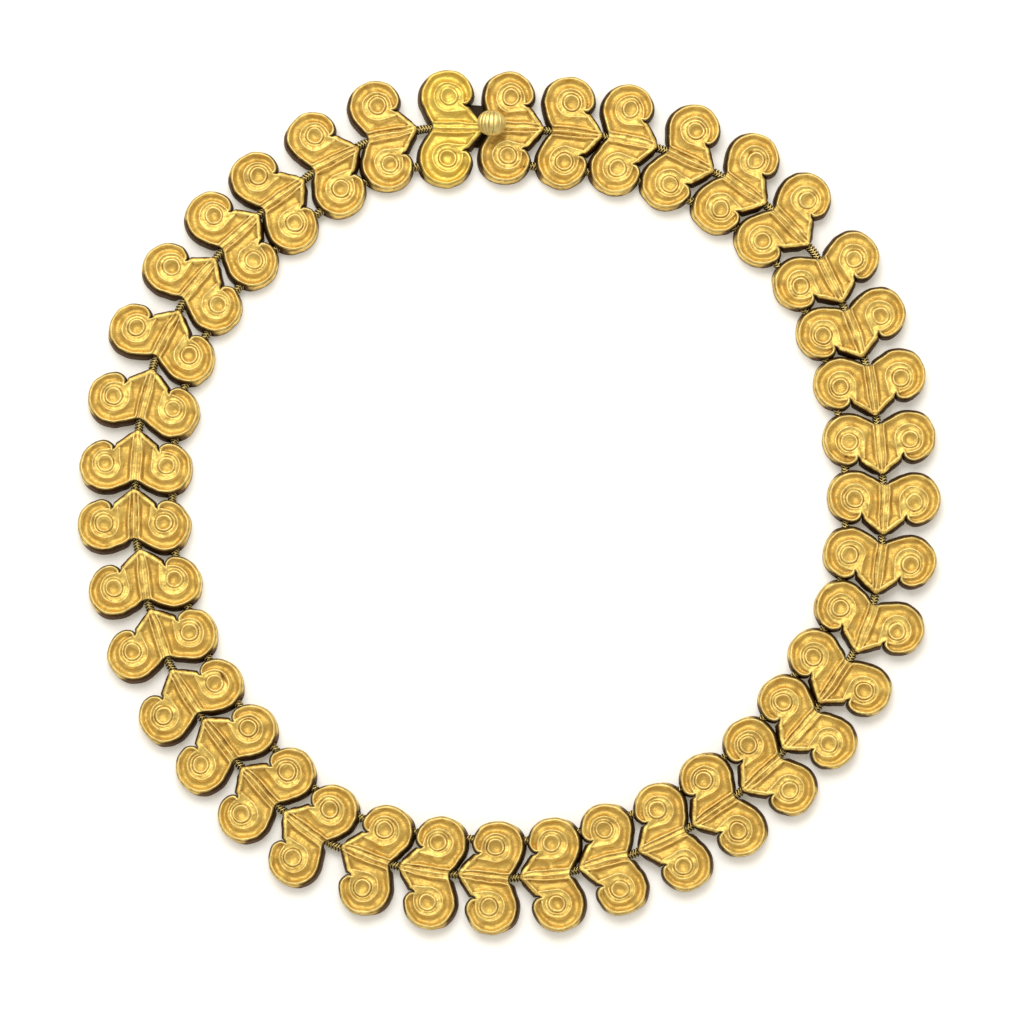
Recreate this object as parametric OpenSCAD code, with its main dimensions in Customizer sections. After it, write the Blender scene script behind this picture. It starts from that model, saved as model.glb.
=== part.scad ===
// Gold necklace of hollow double-scroll links on two woven chains, closed by a box clasp with a fluted thumb bead.
// It lies flat as a closed ring: origin under the middle of the ring on the surface, +Z up, clasp at +Y.
// A link's own frame has X towards its arrow tip, Y out of the ring and Z up.

/* [Ring] */
// Radius of the mean circle through the middles of the links
ring_r = 65.1; // [65:0.1:66]
// Direction of the first link's middle, counterclockwise from +X
first_angle = 100.6; // [98:0.1:103]

/* [Link] */
// Height of the raised rims above the surface that the necklace lies on
link_h = 3.4; // [3.2:0.1:3.8]
// Distance from the link's middle line to the eye of each scroll
eye_y = 5.2; // [5.1:0.05:5.25]
// Radius of each round lobe at its top edge
lobe_r = 4.4; // [4.2:0.05:4.45]
// How far the middle of each lobe lies behind its eye
lobe_back = 0.4; // [0.3:0.05:0.6]
// Depth of the notch at the back, measured from the eyes' line
notch_x = 2.85; // [2.6:0.05:3]
// Reach of the arrow tip in front of the eyes' line
tip_x = 5.95; // [5.6:0.05:6]
// Half width of the blunt end of the tip
tip_half = 0.25; // [0.2:0.05:0.4]
// Forward reach of the shoulder corners
shoulder_x = 3.5; // [3.4:0.05:3.8]
// Distance of the shoulder corners from the middle line
shoulder_y = 3.5; // [3.4:0.05:3.7]
// Size of the first link compared with the rest
first_size = 1.04; // [1:0.01:1.05]

/* [Sheet and relief] */
// Thickness of the gold sheet
sheet = 0.4; // [0.3:0.05:0.45]
// How far the foot of the wall stands out beyond the top edge
foot_out = 0.2; // [0:0.05:0.25]
// Depth of the scroll channels below the rims
channel_deep = 0.55; // [0.3:0.05:0.6]
// Width of the raised rim around the outline
rim_w = 0.5; // [0.35:0.05:0.6]
// Half width of the ribbed band along the middle
band_half = 1; // [0.8:0.05:1.1]
// Radius of the inner spiral ridge around each eye
spiral_r = 2.25; // [2.1:0.05:2.4]
// Radius of the ring ridge around each eye
ring_ridge_r = 1.35; // [1.2:0.05:1.5]
// Half width of the raised ridges around each eye
wire_r = 0.22; // [0.15:0.01:0.25]

/* [Chains] */
// Diameter of the woven chains
chain_d = 1.5; // [1.2:0.1:1.6]
// Height of the chains' middle above the surface
chain_z = 1.5; // [1.4:0.05:1.6]
// Distance of the inner chain from the links' middle line
inner_chain_y = 6.4; // [6:0.1:6.6]
// Clearance on each side of the chains in the links' holes
chain_gap = 0.65; // [0.6:0.05:0.7]

/* [Clasp] */
// Width of the tongue
tongue_w = 7.4; // [6:0.1:7.6]
// Thickness of the tongue's lower leaf
tongue_h = 0.5; // [0.4:0.05:0.55]
// Reach of the tongue into the box, in the box link's frame
tongue_x = 2; // [1.5:0.1:2.2]
// Width of the sprung upper leaf
leaf_w = 4.6; // [3:0.1:4.8]
// Thickness of the sprung upper leaf
leaf_h = 0.35; // [0.3:0.05:0.4]
// Clearance between the tongue and the box
clasp_gap = 0.12; // [0.1:0.01:0.15]
// Length of the thumb bead along the necklace
bead_l = 5; // [4.4:0.1:5.2]
// Width of the thumb bead across the necklace
bead_w = 4.5; // [4:0.1:4.7]
// Height of the thumb bead
bead_h = 3.1; // [2.8:0.1:3.4]
// How far the thumb bead's middle lies behind the box link's middle
bead_back = 3.1; // [3:0.1:3.2]
// Free height under the thumb bead, for pressing it down
press_gap = 0.65; // [0.65:0.05:0.8]
// Number of lobes around the thumb bead
bead_lobes = 12; // [10:1:14]

/* [Hidden] */
$fn = 64;
over = 0.01;

// How each link lies, clockwise from the clasp: [out of the mean circle, clockwise along it, turned counterclockwise]
lay = [
    [0.3, 1.6, -12],
    [-0.4, 1.6, -5],
    [-0.5, 1.4, 1],
    [0.5, 0.6, 5],
    [1.4, 0.5, 0],
    [2.3, 0.3, 0],
    [2.7, -0.3, -1],
    [2.4, 0.4, -10],
    [1.2, -0.3, -8],
    [0.3, -0.7, -9],
    [-0.6, -0.9, -5],
    [-0.7, -0.9, -1],
    [-0.7, -1, 2],
    [-0.1, -0.9, -2],
    [-1.2, -0.6, -6],
    [-1.4, -0.8, -4],
    [-1.2, -1.1, -1],
    [-1.3, -1, 0],
    [-0.9, -1.1, 0],
    [-0.9, -0.7, -1],
    [-0.4, -0.9, -2],
    [-0.3, -0.8, -3],
    [0.1, -1.1, 2],
    [0.7, -1.3, 1],
    [1.4, -0.5, -7],
    [0.3, -0.6, -7],
    [-0.5, -0.6, -3],
    [-0.5, -0.9, 1],
    [-0.7, -0.3, -3],
    [-0.9, -0.2, -5],
    [-0.6, 0.1, -4],
    [-0.7, -0.2, 3],
    [-0.1, 0.1, 1],
    [0.5, 0.7, -4],
    [0.7, 1.1, -6],
    [0.6, 1.3, -5],
    [0.6, 0.6, -1],
    [1.2, 1, -2],
    [1.8, 1, -8],
];
OUT = 0;
ALONG = 1;
TURN = 2;
link_count = len(lay);
step_angle = 360 / link_count;

// Place of link i, counted from 0: middle, direction of its outer side and size
function lay_angle(i) = first_angle - i * step_angle;
function middle_angle(i) = lay_angle(i) - lay[i][ALONG] / ring_r * 180 / PI;
function link_middle(i) = (ring_r + lay[i][OUT]) * [cos(middle_angle(i)), sin(middle_angle(i))];
function link_turn(i) = lay_angle(i) + lay[i][TURN] - 90;
function link_size(i) = i == 0 ? first_size : 1;
function link_point(i, p) = link_middle(i) + link_size(i)
    * [p.x * cos(link_turn(i)) - p.y * sin(link_turn(i)), p.x * sin(link_turn(i)) + p.y * cos(link_turn(i))];

function two_digits(n) = n < 10 ? str("0", n) : str(n);
function link_name(i) = i == 0 ? "tongue_link" : i == 1 ? "box_link" : str("link_", two_digits(i + 1));

gold = [0.89, 0.7, 0.29];
lemon_gold = [0.89, 0.75, 0.25];
dark_gold = [0.42, 0.33, 0.16];

// Levels of a link
channel_z = link_h - channel_deep;
inside_top = channel_z - sheet;

// Points of a link's plan, as [x, y] on the outer half; hook is the middle of a lobe's curled end
lobe_c = [-lobe_back, eye_y];
back_angle = 200;
cusp = [2.7, 4];
hook_c = [3.14, 4.92];
hook_r = 0.84;

// Heights of the steps around each eye above the channel's floor, and the eye's dish
spiral_step = 0.2;
ring_step = 0.35;
spiral_ridge_h = 0.42;
ring_ridge_h = 0.54;
shoulder_ridge_h = 0.45;
dish_r = 1.6;
dish_deep = 0.3;

// Grooves on both sides of the middle rib
groove_y = 0.4;
groove_w = 0.32;
groove_deep = 0.3;

// Inside of the clasp, in the box link's frame
tongue_z = sheet + clasp_gap;
tongue_root = 8.5;
hinge_z = 1.98;
pin_r = 0.3;
pin_gap = 0.06;
stem_r = 0.5;
stem_slot_r = 0.95;
bead_disc_r = 1.4;
bead_disc_h = 0.3;
leaf_back = 3.7;

// Half of the body's plan, grown outward by the given amount: notch, back, shoulders and tip
function body_half(grow) = [
    [-notch_x - 1.1 * grow, 0],
    [tip_x + 1.3 * grow, 0],
    [tip_x + 1.3 * grow, tip_half + 0.3 * grow],
    [shoulder_x + 1.1 * grow, shoulder_y + 0.3 * grow],
    cusp,
    [0, eye_y],
    lobe_c + (lobe_r + grow) * [cos(back_angle), sin(back_angle)],
];

function flipped(points) = [for (k = [len(points) - 1 : -1 : 0]) [points[k].x, -points[k].y]];

// Solid between two plans of equally many corners
module tapered(low, high, h) {
    n = len(low);
    polyhedron(
        points = concat([for (p = low) [p.x, p.y, 0]], [for (p = high) [p.x, p.y, h]]),
        faces = concat(
            [[for (k = [0 : n - 1]) k]],
            [[for (k = [n - 1 : -1 : 0]) n + k]],
            [for (k = [0 : n - 1]) [k, n + k, n + (k + 1) % n, (k + 1) % n]]
        )
    );
}

module both_halves() {
    children();
    mirror([0, 1, 0]) children();
}

// Wedge that separates a lobe's curled end from the shoulder
module cusp_wedge(z, h) {
    translate([0, 0, z]) linear_extrude(h)
        polygon([cusp, [shoulder_x, shoulder_y], [shoulder_x + 2, shoulder_y + 0.4], [shoulder_x + 2, hook_c.y],
            [hook_c.x, hook_c.y], [hook_c.x - 0.35, hook_c.y - 0.5]]);
}

// Outer form of a link, with walls that flare out to the foot
module link_body() {
    low = body_half(foot_out);
    high = body_half(0);
    difference() {
        union() {
            both_halves() translate([lobe_c.x, lobe_c.y, 0]) cylinder(h = link_h, r1 = lobe_r + foot_out, r2 = lobe_r);
            tapered(low, high, link_h);
            tapered(flipped(low), flipped(high), link_h);
        }
        both_halves() cusp_wedge(-1, link_h + 2);
    }
    both_halves() translate([hook_c.x, hook_c.y, 0]) cylinder(h = link_h, r1 = hook_r + 0.5 * foot_out, r2 = hook_r);
}

// Hollow inside of a link
module link_inside() {
    inset = 1.5 * sheet;
    half = [
        [-notch_x + 1.1 * inset, -over],
        [tip_x - 2.2 * inset, -over],
        [shoulder_x - 1.2 * inset, shoulder_y - 0.2],
        [1, eye_y],
        lobe_c + (lobe_r - inset) * [cos(back_angle), sin(back_angle)],
    ];
    translate([0, 0, sheet]) linear_extrude(inside_top - sheet) {
        polygon(half);
        polygon(flipped(half));
        for (side = [-1, 1])
            difference() {
                translate([lobe_c.x, side * lobe_c.y]) circle(lobe_r - inset);
                translate([cusp.x + 1.3, side * (cusp.y + 0.2)]) circle(1.7);
            }
    }
}

// Cut that sinks one scroll's channel below the rims
module channel_cut() {
    channel = [
        [-notch_x + 0.2, band_half],
        [tip_x - 1.4, band_half],
        [shoulder_x - rim_w, shoulder_y - rim_w],
        [0, eye_y - spiral_r],
        lobe_c + (lobe_r - rim_w) * [cos(back_angle), sin(back_angle)],
    ];
    translate([0, 0, channel_z]) linear_extrude(2 * channel_deep) {
        polygon(channel);
        difference() {
            translate(lobe_c) circle(lobe_r - rim_w);
            translate([hook_c.x, hook_c.y - 1.3 * hook_r]) circle(1.7);
            translate([-lobe_r, -eye_y]) square([2 * lobe_r, eye_y + band_half]);
        }
    }
}

// Raised ring of tapering section around an eye
module ring_ridge(r, h) {
    rotate_extrude() polygon([[r - wire_r, 0], [r + wire_r, 0], [r + wire_r / 2, h], [r - wire_r / 2, h]]);
}

// Spiral ridge, ring ridge and eye of one scroll, raised from the channel's floor
module scroll_relief() {
    spiral_y = eye_y - spiral_r;
    translate([0, eye_y, channel_z - over]) {
        cylinder(h = spiral_step, r = spiral_r);
        ring_ridge(spiral_r, spiral_ridge_h);
        cylinder(h = ring_step, r = ring_ridge_r);
        ring_ridge(ring_ridge_r, ring_ridge_h);
    }
    translate([0, 0, channel_z - over]) linear_extrude(shoulder_ridge_h)
        polygon([[shoulder_x, shoulder_y - 0.15], [shoulder_x - rim_w, shoulder_y + 0.1],
            [wire_r, spiral_y + wire_r / 2], [wire_r, spiral_y]]);
}

// Dish pressed into the eye
module eye_dish() {
    translate([0, eye_y, channel_z + ring_step - dish_deep + dish_r]) sphere(dish_r);
}

// Grooves beside the thin rib along the middle
module middle_grooves() {
    for (y = [-groove_y, groove_y])
        translate([-notch_x - 1, y - groove_w / 2, link_h - groove_deep])
            cube([tip_x + notch_x + 2, groove_w, 2 * groove_deep]);
}

// Openings in the walls that one chain passes through
module chain_holes(y, front, back) {
    hole_w = chain_d + 2 * chain_gap;
    edge = 0.1;
    translate([-back, y - hole_w / 2, sheet + edge])
        cube([back + front, hole_w, inside_top - sheet - 2 * edge]);
}

// One link; the first has nothing to pass in front and the second nothing behind, so their holes differ
module scroll_link(front_holes = true, back_holes = true) {
    reach = tip_x + 1;
    difference() {
        union() {
            difference() {
                link_body();
                both_halves() channel_cut();
            }
            both_halves() scroll_relief();
        }
        link_inside();
        both_halves() eye_dish();
        middle_grooves();
        for (y = [0, -inner_chain_y])
            chain_holes(y, front_holes ? reach : over, back_holes ? reach : over);
    }
}

module place_link(i) {
    m = link_middle(i);
    translate([m.x, m.y, 0]) rotate(link_turn(i)) children();
}

// Lower leaf of the clasp's tongue, in the box link's frame, with the pin of the leaf's fold at its end
module tongue() {
    translate([-tongue_root, -tongue_w / 2, tongue_z])
        cube([tongue_root + tongue_x + pin_r / 2, tongue_w, tongue_h]);
    translate([tongue_x - pin_r / 2, -leaf_w / 2, tongue_z])
        cube([pin_r, leaf_w, hinge_z - tongue_z - pin_r / 2]);
    translate([tongue_x, leaf_w / 2, hinge_z]) rotate([90, 0, 0]) cylinder(h = leaf_w, r = pin_r);
}

module tongue_link() {
    color(lemon_gold) {
        place_link(0) scale(first_size) scroll_link(front_holes = false);
        place_link(1) tongue();
    }
}

module box_link() {
    mouth_w = tongue_w + 2 * clasp_gap;
    color(gold) place_link(1) difference() {
        scroll_link(back_holes = false);
        translate([-8, -mouth_w / 2, sheet]) cube([8, mouth_w, inside_top - sheet]);
        translate([-bead_back, 0, inside_top - 1]) cylinder(h = link_h, r = stem_slot_r);
    }
}

// Melon-shaped bead: an ellipsoid whose surface swells between grooves that run across the necklace
module fluted_bead() {
    around = 48;
    across = 12;
    function swell(k) = 1 - 0.07 * pow(abs(cos(k * 180 * bead_lobes / around)), 3);
    function bead_point(j, k) = [
        bead_l / 2 * sin(j * 180 / across) * cos(k * 360 / around) * swell(k),
        -bead_w / 2 * cos(j * 180 / across),
        bead_h / 2 * sin(j * 180 / across) * sin(k * 360 / around) * swell(k),
    ];
    points = concat(
        [[0, -bead_w / 2, 0]],
        [for (j = [1 : across - 1]) for (k = [0 : around - 1]) bead_point(j, k)],
        [[0, bead_w / 2, 0]]
    );
    last = len(points) - 1;
    function at(j, k) = 1 + (j - 1) * around + k % around;
    polyhedron(points, concat(
        [for (k = [0 : around - 1]) [0, at(1, k + 1), at(1, k)]],
        [for (j = [1 : across - 2]) for (k = [0 : around - 1]) [at(j, k), at(j, k + 1), at(j + 1, k + 1), at(j + 1, k)]],
        [for (k = [0 : around - 1]) [last, at(across - 1, k), at(across - 1, k + 1)]]
    ));
}

// Sprung upper leaf with its stem and bead, hinged about the pin at the tongue's fold
module thumb_press() {
    bead_z = link_h + press_gap;
    color(gold) place_link(1) {
        difference() {
            translate([-leaf_back, -leaf_w / 2, hinge_z - leaf_h / 2]) cube([leaf_back + tongue_x, leaf_w, leaf_h]);
            translate([tongue_x, leaf_w, hinge_z]) rotate([90, 0, 0]) cylinder(h = 2 * leaf_w, r = pin_r + pin_gap);
        }
        translate([-bead_back, 0, hinge_z]) cylinder(h = bead_z - hinge_z + 0.5, r = stem_r);
        translate([-bead_back, 0, bead_z]) cylinder(h = bead_disc_h, r = bead_disc_r);
        translate([-bead_back, 0, bead_z + 0.1 + bead_h / 2]) fluted_bead();
    }
}

// Round tube through a row of points at one height, mitred where it bends
module swept_tube(path, r, z) {
    sides = 8;
    n = len(path);
    function heading(a, b) = atan2(b.y - a.y, b.x - a.x);
    function turn_at(k) = heading(path[max(k - 1, 0)], path[min(k + 1, n - 1)]);
    points = [for (k = [0 : n - 1]) for (s = [0 : sides - 1])
        let (a = (s + 0.5) * 360 / sides, t = turn_at(k))
        [path[k].x - r * cos(a) * sin(t), path[k].y + r * cos(a) * cos(t), z + r * sin(a)]];
    polyhedron(points, concat(
        [[for (s = [0 : sides - 1]) s]],
        [[for (s = [sides - 1 : -1 : 0]) (n - 1) * sides + s]],
        [for (k = [0 : n - 2]) for (s = [0 : sides - 1])
            [k * sides + s, (k + 1) * sides + s, (k + 1) * sides + (s + 1) % sides, k * sides + (s + 1) % sides]]
    ));
}

// Route of a chain: from inside the box link, through the middle of each gap, to inside the tongue link
function chain_path(y, start, front, back, end) = concat(
    [link_point(1, [start, y])],
    [for (i = [1 : link_count - 1])
        (link_point(i, [front, y]) + link_point((i + 1) % link_count, [-back, y])) / 2],
    [link_point(0, [end, y])]
);

module centre_chain() {
    color(dark_gold) swept_tube(chain_path(0, 3, tip_x, notch_x, -1.5), chain_d / 2, chain_z);
}

module inner_chain() {
    color(dark_gold) swept_tube(chain_path(-inner_chain_y, 0, 3.8, 4.6, -2), chain_d / 2, chain_z);
}

tongue_link();
box_link();
for (i = [2 : link_count - 1])
    color(gold) place_link(i) scroll_link();
centre_chain();
inner_chain();
thumb_press();
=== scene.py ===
import math

import bpy
import numpy as np
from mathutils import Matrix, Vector
from mathutils.geometry import delaunay_2d_cdt


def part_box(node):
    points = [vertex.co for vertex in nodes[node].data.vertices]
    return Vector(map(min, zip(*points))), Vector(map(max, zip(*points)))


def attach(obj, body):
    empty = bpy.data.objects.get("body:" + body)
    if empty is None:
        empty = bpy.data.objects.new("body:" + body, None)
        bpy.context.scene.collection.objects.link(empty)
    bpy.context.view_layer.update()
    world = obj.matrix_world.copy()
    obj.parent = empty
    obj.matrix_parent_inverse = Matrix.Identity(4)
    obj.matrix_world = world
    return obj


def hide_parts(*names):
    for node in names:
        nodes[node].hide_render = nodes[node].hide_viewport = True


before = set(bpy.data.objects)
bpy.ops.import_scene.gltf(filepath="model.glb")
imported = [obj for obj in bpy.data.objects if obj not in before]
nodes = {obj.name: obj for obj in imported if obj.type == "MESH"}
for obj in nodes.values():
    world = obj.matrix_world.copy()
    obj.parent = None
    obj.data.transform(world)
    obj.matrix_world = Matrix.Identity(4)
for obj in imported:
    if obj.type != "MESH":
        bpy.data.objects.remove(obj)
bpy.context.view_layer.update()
mm = 0.001

# The ring of links, clockwise from the clasp
linkNames = ["tongue_link", "box_link"] + ["link_%02d" % n for n in range(3, 40)]
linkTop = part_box("link_03")[1].z / mm


# Lines in the plane, and values over points

def arc(centre, radius, start, end, step):
    count = max(2, round(abs(math.radians(end - start)) * radius / step))
    angles = np.radians(np.linspace(start, end, count + 1))
    return np.stack([centre[0] + radius * np.cos(angles), centre[1] + radius * np.sin(angles)], 1)


# The line through the corners, with each inner corner replaced by a short curve that starts cut before it
def softCorners(corners, cut):
    corners = [np.array(c, float) for c in corners]
    line = [corners[0]]
    for before, corner, after in zip(corners, corners[1:], corners[2:]):
        start = corner + (before - corner) / np.linalg.norm(before - corner) * cut
        end = corner + (after - corner) / np.linalg.norm(after - corner) * cut
        for t in (0.0, 0.33, 0.67, 1.0):
            line.append((1 - t) ** 2 * start + 2 * t * (1 - t) * corner + t * t * end)
    return np.array(line + [corners[-1]])


# The same line with points added so that none are more than about a step apart
def divided(line, step):
    out = [line[0]]
    for a, b in zip(line, line[1:]):
        count = max(1, round(np.linalg.norm(b - a) / step))
        out += [a + (b - a) * k / count for k in range(1, count + 1)]
    return np.array(out)


# Shortest distance of each point to a line, and how far along the line that is, from 0 to 1
def measure(points, line, batch=2000):
    a, b = line[:-1], line[1:]
    d = b - a
    squared = (d ** 2).sum(1)
    lengths = np.sqrt(squared)
    begun = np.concatenate([[0], np.cumsum(lengths)[:-1]])
    nearest = np.full(len(points), np.inf)
    along = np.zeros(len(points))
    for first in range(0, len(points), batch):
        p = points[first:first + batch, None, :]
        t = np.clip(((p - a) * d).sum(2) / squared, 0, 1)
        gap = np.linalg.norm(p - a - t[..., None] * d, axis=2)
        k = gap.argmin(1)
        rows = np.arange(len(k))
        nearest[first:first + batch] = gap[rows, k]
        along[first:first + batch] = (begun[k] + t[rows, k] * lengths[k]) / lengths.sum()
    return nearest, along


def smoothStep(low, high, value):
    t = np.clip((value - low) / (high - low), 0, 1)
    return t * t * (3 - 2 * t)


# Soft random waves over the points, mostly up to this high either way and of about this size
def waves(points, rng, high, size, count=28):
    total = np.zeros(len(points))
    for _ in range(count):
        direction, phase = rng.uniform(0, 2 * math.pi, 2)
        length = size * rng.uniform(0.7, 1.5)
        push = points[:, 0] * math.cos(direction) + points[:, 1] * math.sin(direction)
        total += np.cos(2 * math.pi * push / length + phase)
    return high * (total / math.sqrt(count))


# Each point's value averaged with its neighbours', over several rounds
def evened(values, triangles, rounds):
    a = np.concatenate([triangles[:, 0], triangles[:, 1], triangles[:, 2]])
    b = np.concatenate([triangles[:, 1], triangles[:, 2], triangles[:, 0]])
    size = len(values)
    count = 1 + np.bincount(a, minlength=size) + np.bincount(b, minlength=size)
    for _ in range(rounds):
        values = (values + np.bincount(a, values[b], size) + np.bincount(b, values[a], size)) / count
    return values


# Each point's nearest points, and the weights with which they give the best plane's level at the point
def planeFit(points, size, count=26):
    near = np.empty((len(points), count), int)
    for first in range(0, len(points), 500):
        gap = ((points[first:first + 500, None] - points[None]) ** 2).sum(2)
        near[first:first + 500] = np.argpartition(gap, count, axis=1)[:, :count]
    away = (points[near] - points[:, None]) / size
    weight = np.exp(-(away ** 2).sum(2) / 2)
    basis = np.concatenate([np.ones((len(points), count, 1)), away], 2)
    moments = np.einsum("nk,nki,nkj->nij", weight, basis, basis) + 1e-6 * np.eye(3)
    level = np.linalg.solve(moments, np.tile([[1.0], [0], [0]], (len(points), 1, 1)))
    return near, weight * (basis @ level)[:, :, 0]


# The plan of a link: x to the arrow tip, y out of the ring, one scroll on each side of y = 0, in mm

linkPlan = {
    "eye": (0.0, 5.2),
    "lobe": (-0.4, 5.2),
    "lobeRadius": 4.4,
    "backAngle": 200,         # where the lobe runs into the straight back, in degrees
    "notch": (-2.85, 0.32),
    "backBulge": 0.1,
    "tip": (5.95, 0.25),
    "shoulder": (3.4, 3.5),
    "cusp": (2.64, 3.87),
    "hook": (2.07, 5.63),     # middle of the lobe's curled end
    "hookRadius": 1.9,
    "hookEnd": -66,           # where the curled end runs into the cusp, in degrees
    "loop": (-0.12, 5.05),    # the spiral's loop isn't quite round the eye
    "loopRadius": 2.45,
    "spiralStart": (2.85, 2.95),
    "spiralFoot": (0.3, 2.66),
    "loopStart": 272,         # where the spiral's foot runs into the loop, in degrees
    "loopTurn": (0.1, -0.5),  # how it turns in from the loop's end
    "spiralEnd": (2.4, 4.36),
    "cutStart": (0.15, 0.0),  # the sunken cut beside the curled end, from this far off the cusp
    "cutEnd": (2.2, 4.02),
    "band": [(-2.78, 0.86), (-2.3, 0.8), (0.0, 0.84), (2.6, 0.84), (4.9, 0.6), (5.3, 0.42)],
    # how far from each corner its rounding begins
    "backSoft": 0.16, "frontSoft": 0.1, "loopSoft": 0.2, "bandSoft": 0.3,
    "edgeStep": 0.18,         # spacing of the points along the edge
    "fillStep": 0.24,         # spacing of the points between the ridges
    "firstSize": 1.04,        # size of the first link beside the others
}
# Rows of points at these distances from each line, in mm
planRows = {
    "edge": (0.05, 0.12, 0.2, 0.29, 0.37, 0.45, 0.54, 0.66, 0.84),
    "eye": (0.0, 0.35, 0.65, 0.85, 1.0, 1.11, 1.2, 1.3, 1.4, 1.5, 1.6, 1.7, 1.8, 1.92),
    "spiral": (0.0, 0.09, -0.09, 0.2, -0.2, 0.35, -0.35),
    "band": (0.0, 0.08, -0.08, 0.17, -0.17, 0.29, -0.29),
    "cut": (0.0, 0.08, -0.08, 0.17, -0.17, 0.27, -0.27),
    "middle": (0.0, 0.09, 0.2, 0.36, 0.54),
    "alongRow": 0.9,          # spacing along a row, as a part of edgeStep
    "middleEnds": (0.2, 0.1),
    "fillX": (-5.2, 6.2), "fillY": 12, "fillRow": 0.866,
    # A point is left out where another is this near. The last two are parts of a spacing
    "least": 0.01, "apart": 0.072, "edgeApart": 0.8, "fillApart": 0.7,
    # And where its own line or the edge is this near. The first two are parts of a row's distance
    "sideClear": 0.97, "edgeClear": 0.96, "ridgeClear": 0.04, "middleClear": 0.08, "fillClear": 0.12,
}


def scrollLines(plan):
    spacing = plan["edgeStep"]
    lobe, hook, eye, loop = (np.array(plan[key]) for key in ("lobe", "hook", "eye", "loop"))
    cusp, shoulder, notch = (np.array(plan[key]) for key in ("cusp", "shoulder", "notch"))
    tipEnd = (plan["tip"][0], 0)
    join = arc(lobe, plan["lobeRadius"], plan["backAngle"], plan["backAngle"] - 1, spacing)[0]
    lobeEnd = math.degrees(math.atan2(hook[1] - lobe[1], hook[0] - lobe[0]))
    middle = (notch + join) / 2
    sideways = np.array([join[1] - notch[1], notch[0] - join[0]]) / np.linalg.norm(join - notch)
    bulge = middle - sideways * plan["backBulge"]
    back = softCorners([(notch[0], 0), notch, bulge, join], plan["backSoft"])
    curl = arc(hook, plan["hookRadius"], lobeEnd, plan["hookEnd"], spacing)
    front = softCorners([curl[-1], cusp, shoulder, plan["tip"], tipEnd], plan["frontSoft"])
    edge = np.concatenate([
        divided(back, spacing),
        arc(lobe, plan["lobeRadius"], plan["backAngle"], lobeEnd, spacing)[1:],
        curl[1:],
        divided(front, spacing)[1:],
    ])
    loopLine = arc(loop, plan["loopRadius"], plan["loopStart"], 0, spacing)
    loopEnd = loopLine[-1]
    inward = softCorners([loopEnd, loopEnd + plan["loopTurn"], plan["spiralEnd"]], plan["loopSoft"])
    spiral = np.concatenate([
        divided(np.array([plan["spiralStart"], plan["spiralFoot"]]), spacing),
        loopLine,
        divided(inward, spacing)[1:],
    ])
    return {
        "edge": edge,
        "spiral": spiral,
        "band": divided(softCorners(plan["band"], plan["bandSoft"]), spacing),
        "eye": eye,
        "loop": loop,
        "loopRadius": plan["loopRadius"],
        "foot": np.array([plan["spiralFoot"], plan["spiralStart"]]),
        "shoulderEdge": np.array([cusp, shoulder, plan["tip"]]),
        "cut": divided(np.array([plan["cutEnd"], cusp + plan["cutStart"]]), spacing),
    }


# Points of one scroll's half of the plan: along the edge, in rows beside the ridges, and evenly between
def planPoints(lines, plan, rows):
    cell = 0.1
    taken = {}
    kept = []

    def offer(points, apart):
        for p in points:
            column, row = int(p[0] // cell), int(p[1] // cell)
            reach = int(apart // cell) + 1
            close = any(
                (p[0] - q[0]) ** 2 + (p[1] - q[1]) ** 2 < apart * apart
                for i in range(column - reach, column + reach + 1)
                for j in range(row - reach, row + reach + 1)
                for q in taken.get((i, j), ())
            )
            if not close:
                taken.setdefault((column, row), []).append(p)
                kept.append(p)

    def inside(points, least):
        gap, _ = measure(points, lines["edge"])
        crossed = np.zeros(len(points))
        closed = np.concatenate([lines["edge"], lines["edge"][:1]])
        for a, b in zip(closed, closed[1:]):
            rise = b[1] - a[1]
            if rise == 0:
                continue
            passed = (a[1] > points[:, 1]) != (b[1] > points[:, 1])
            crossed += passed & (points[:, 0] < a[0] + (points[:, 1] - a[1]) / rise * (b[0] - a[0]))
        return points[(crossed % 2 == 1) & (gap > least) & (points[:, 1] >= 0)]

    def beside(line, offset):
        d = np.gradient(line, axis=0)
        normal = np.stack([-d[:, 1], d[:, 0]], 1) / np.linalg.norm(d, axis=1)[:, None]
        moved = line + normal * offset
        gap, _ = measure(moved, line)
        return moved[gap > abs(offset) * rows["sideClear"]] if offset else line

    spacing = plan["edgeStep"] * rows["alongRow"]
    apart = rows["apart"]
    offer(lines["edge"], rows["least"])
    for inset in rows["edge"]:
        offer(inside(beside(lines["edge"], -inset), inset * rows["edgeClear"]), apart * rows["edgeApart"])
    for radius in rows["eye"]:
        offer(arc(lines["eye"], radius, 0, 360, spacing)[:-1] if radius else lines["eye"][None, :], apart)
    for name in ("cut", "spiral", "band"):
        for offset in rows[name]:
            offer(inside(beside(lines[name], offset), rows["ridgeClear"]), apart)
    start, end = rows["middleEnds"]
    columns = np.arange(plan["notch"][0] + start, plan["tip"][0] - end, spacing)
    for y in rows["middle"]:
        offer(inside(np.column_stack([columns, np.full(len(columns), y)]), rows["middleClear"]), apart)
    fill = plan["fillStep"]
    grid = [
        (x + (k % 2) * fill / 2, (k + 0.5) * fill * rows["fillRow"])
        for k in range(round(rows["fillY"] / fill))
        for x in np.arange(*rows["fillX"], fill)
    ]
    offer(inside(np.array(grid), rows["fillClear"]), fill * rows["fillApart"])
    return np.array(kept), len(lines["edge"])


# Triangles over the points inside the loop of point numbers
def triangulated(points, loop):
    coords = [Vector((float(p[0]), float(p[1]))) for p in points]
    found, _, faces, origin, _, _ = delaunay_2d_cdt(coords, [], [loop], 1, 1e-7)
    if len(found) != len(points):
        raise ValueError("the plan's lines cross: %d points became %d" % (len(points), len(found)))
    source = [o[0] for o in origin]
    return np.array([[source[k] for k in f] for f in faces])


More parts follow.
